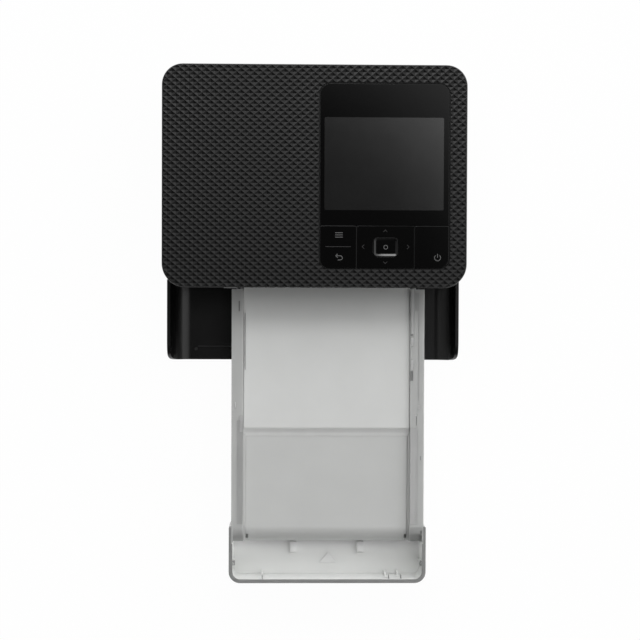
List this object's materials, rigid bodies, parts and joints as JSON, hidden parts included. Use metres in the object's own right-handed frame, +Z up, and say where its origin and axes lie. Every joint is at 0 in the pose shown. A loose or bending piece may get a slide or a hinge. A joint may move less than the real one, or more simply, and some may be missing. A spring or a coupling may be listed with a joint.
{
  "type": "compact photo printer",
  "caption": "Compact photo printer with a fold-down front cover, a sliding paper cassette, a control panel on top and a side door for the ink cassette.",
  "frame": {"origin": "under the middle of the whole object with the cassette in and the front cover open, on the surface that it stands on", "axes": "+X right, +Y towards the back, +Z up"},
  "size_m": [0.1822, 0.315, 0.0576],
  "materials": {
    "case_plastic": "moulded, satin",
    "gloss_panel": "polished",
    "inner_plastic": "moulded",
    "foot_rubber": "matt",
    "roller_rubber": "ground",
    "sheet_steel": "plated sheet",
    "shaft_steel": "ground",
    "gear_plastic": "moulded acetal",
    "motor_steel": "plated can",
    "board_laminate": "solder resist",
    "display_glass": "dark glass",
    "spool_plastic": "moulded",
    "ribbon_black": "film",
    "head_aluminium": "extruded",
    "cassette_plastic": "frosted translucent",
    "paper_white": "coated paper"
  },
  "bodies": {
    "root": {"base_case": "case_plastic", "side_case": "case_plastic", "top_cover": "case_plastic", "front_frame": "case_plastic", "foot_pads": "foot_rubber", "case_screws": "shaft_steel", "cover_hinge_pins": "shaft_steel", "control_panel": "inner_plastic", "display_window": "gloss_panel", "display_module": "display_glass", "key_mat": "roller_rubber", "key_board": "board_laminate", "main_board": "board_laminate", "port_board": "board_laminate", "usb_port": "sheet_steel", "card_socket": "sheet_steel", "dc_inlet": "inner_plastic", "left_side_plate": "sheet_steel", "right_side_plate": "sheet_steel", "roller_bushes": "gear_plastic", "pinch_springs": "sheet_steel", "nose_tray": "inner_plastic", "paper_guide": "inner_plastic", "gear_bracket": "sheet_steel", "feed_motor": "motor_steel", "ribbon_motor": "motor_steel", "ribbon_film": "ribbon_black", "ink_cassette": "inner_plastic", "door_hinge_pins": "shaft_steel", "arm_pivot_rod": "shaft_steel"},
    "front_cover": {"front_cover": "case_plastic"},
    "ink_door": {"ink_door": "case_plastic"},
    "menu_back_key": {"menu_back_key": "gloss_panel"},
    "nav_key": {"nav_key": "gloss_panel"},
    "ok_key": {"ok_key": "gloss_panel"},
    "power_key": {"power_key": "gloss_panel"},
    "ink_latch": {"ink_latch": "inner_plastic"},
    "pickup_roller": {"pickup_shaft": "gear_plastic", "pickup_tyres": "roller_rubber", "pickup_gear": "gear_plastic"},
    "capstan": {"capstan_roller": "shaft_steel", "capstan_gear": "gear_plastic"},
    "platen": {"platen_shaft": "shaft_steel", "platen_sleeve": "roller_rubber"},
    "pinch": {"pinch_roller": "shaft_steel"},
    "reduction": {"reduction_gear": "gear_plastic"},
    "feed_rotor": {"feed_pinion": "gear_plastic"},
    "ribbon_rotor": {"ribbon_pinion": "gear_plastic"},
    "takeup": {"takeup_coupler": "gear_plastic", "takeup_spool": "spool_plastic", "takeup_ribbon": "ribbon_black"},
    "supply": {"supply_spool": "spool_plastic", "supply_ribbon": "ribbon_black"},
    "head": {"head_arm": "sheet_steel", "thermal_head": "head_aluminium"},
    "cassette": {"cassette_base": "cassette_plastic", "cassette_inner_cover": "cassette_plastic"},
    "cassette_lid": {"cassette_outer_cover": "cassette_plastic"},
    "lift": {"lift_plate": "cassette_plastic", "paper_stack": "paper_white"}
  },
  "joints": [
    {"name": "front_cover_hinge", "type": "hinge", "parent": "root", "child": "front_cover", "pos_m": [0, 0.027, 0.0045], "axis": [-1, 0, 0], "range_deg": [0, 6.5]},
    {"name": "ink_door_hinge", "type": "hinge", "parent": "root", "child": "ink_door", "pos_m": [0.0895, 0.0985, 0.0186], "axis": [0, 1, 0], "range_deg": [0, 90]},
    {"name": "menu_back_key_rock", "type": "hinge", "parent": "root", "child": "menu_back_key", "pos_m": [0.01415, 0.04885, 0.0554], "axis": [1, 0, 0], "range_deg": [-1.5, 1.5], "stiffness_Nm_per_rad": 0.05},
    {"name": "nav_key_rock", "type": "hinge", "parent": "root", "child": "nav_key", "pos_m": [0.04245, 0.04885, 0.0554], "axis": [1, 0, 0], "range_deg": [-1.5, 1.5], "stiffness_Nm_per_rad": 0.05},
    {"name": "ok_key_press", "type": "slide", "parent": "root", "child": "ok_key", "axis": [0, 0, -1], "range_m": [0, 0.0004], "stiffness_N_per_m": 400},
    {"name": "power_key_press", "type": "slide", "parent": "root", "child": "power_key", "axis": [0, 0, -1], "range_m": [0, 0.0004], "stiffness_N_per_m": 400},
    {"name": "ink_latch_turn", "type": "hinge", "parent": "root", "child": "ink_latch", "pos_m": [0.0841, 0.1285, 0.038], "axis": [1, 0, 0], "range_deg": [0, 45]},
    {"name": "head_arm_press", "type": "hinge", "parent": "root", "child": "head", "pos_m": [0, 0.1305, 0.04545], "axis": [1, 0, 0], "range_deg": [0, 2.2]},
    {"name": "capstan_spin", "type": "hinge", "parent": "root", "child": "capstan", "pos_m": [0, 0.0605, 0.022], "axis": [1, 0, 0], "continuous": true},
    {"name": "pickup_spin", "type": "hinge", "parent": "root", "child": "pickup_roller", "pos_m": [0, 0.04641, 0.0332], "axis": [1, 0, 0], "continuous": true},
    {"name": "pinch_spin", "type": "hinge", "parent": "root", "child": "pinch", "pos_m": [0, 0.0605, 0.0298], "axis": [1, 0, 0], "continuous": true},
    {"name": "platen_spin", "type": "hinge", "parent": "root", "child": "platen", "pos_m": [0, 0.0925, 0.0194], "axis": [1, 0, 0], "continuous": true},
    {"name": "reduction_spin", "type": "hinge", "parent": "root", "child": "reduction", "pos_m": [0, 0.07527, 0.01939], "axis": [1, 0, 0], "continuous": true},
    {"name": "feed_rotor_spin", "type": "hinge", "parent": "root", "child": "feed_rotor", "pos_m": [0, 0.08854, 0.02869], "axis": [1, 0, 0], "continuous": true},
    {"name": "takeup_spin", "type": "hinge", "parent": "root", "child": "takeup", "pos_m": [0, 0.0755, 0.0352], "axis": [1, 0, 0], "continuous": true},
    {"name": "ribbon_rotor_spin", "type": "hinge", "parent": "root", "child": "ribbon_rotor", "pos_m": [0, 0.07222, 0.04422], "axis": [1, 0, 0], "continuous": true},
    {"name": "supply_spin", "type": "hinge", "parent": "root", "child": "supply", "pos_m": [0, 0.1125, 0.0364], "axis": [1, 0, 0], "continuous": true},
    {"name": "cassette_slide", "type": "slide", "parent": "root", "child": "cassette", "axis": [0, -1, 0], "range_m": [0, 0.09]},
    {"name": "cassette_lid_slide", "type": "slide", "parent": "cassette", "child": "cassette_lid", "axis": [0, 1, 0], "range_m": [0, 0.07]},
    {"name": "lift_plate_tilt", "type": "hinge", "parent": "cassette", "child": "lift", "pos_m": [0.009, -0.1215, 0.0125], "axis": [1, 0, 0], "range_deg": [0, 2.4]}
  ],
  "couplings": [
    {"joint": "pickup_spin", "follows": "capstan_spin", "ratio": -1.5},
    {"joint": "pinch_spin", "follows": "capstan_spin", "ratio": -1.1429},
    {"joint": "platen_spin", "follows": "capstan_spin", "ratio": 0.61538},
    {"joint": "reduction_spin", "follows": "capstan_spin", "ratio": -2.5714},
    {"joint": "feed_rotor_spin", "follows": "capstan_spin", "ratio": 9},
    {"joint": "ribbon_rotor_spin", "follows": "takeup_spin", "ratio": -1.6667},
    {"joint": "supply_spin", "follows": "takeup_spin", "ratio": 0.8}
  ]
}
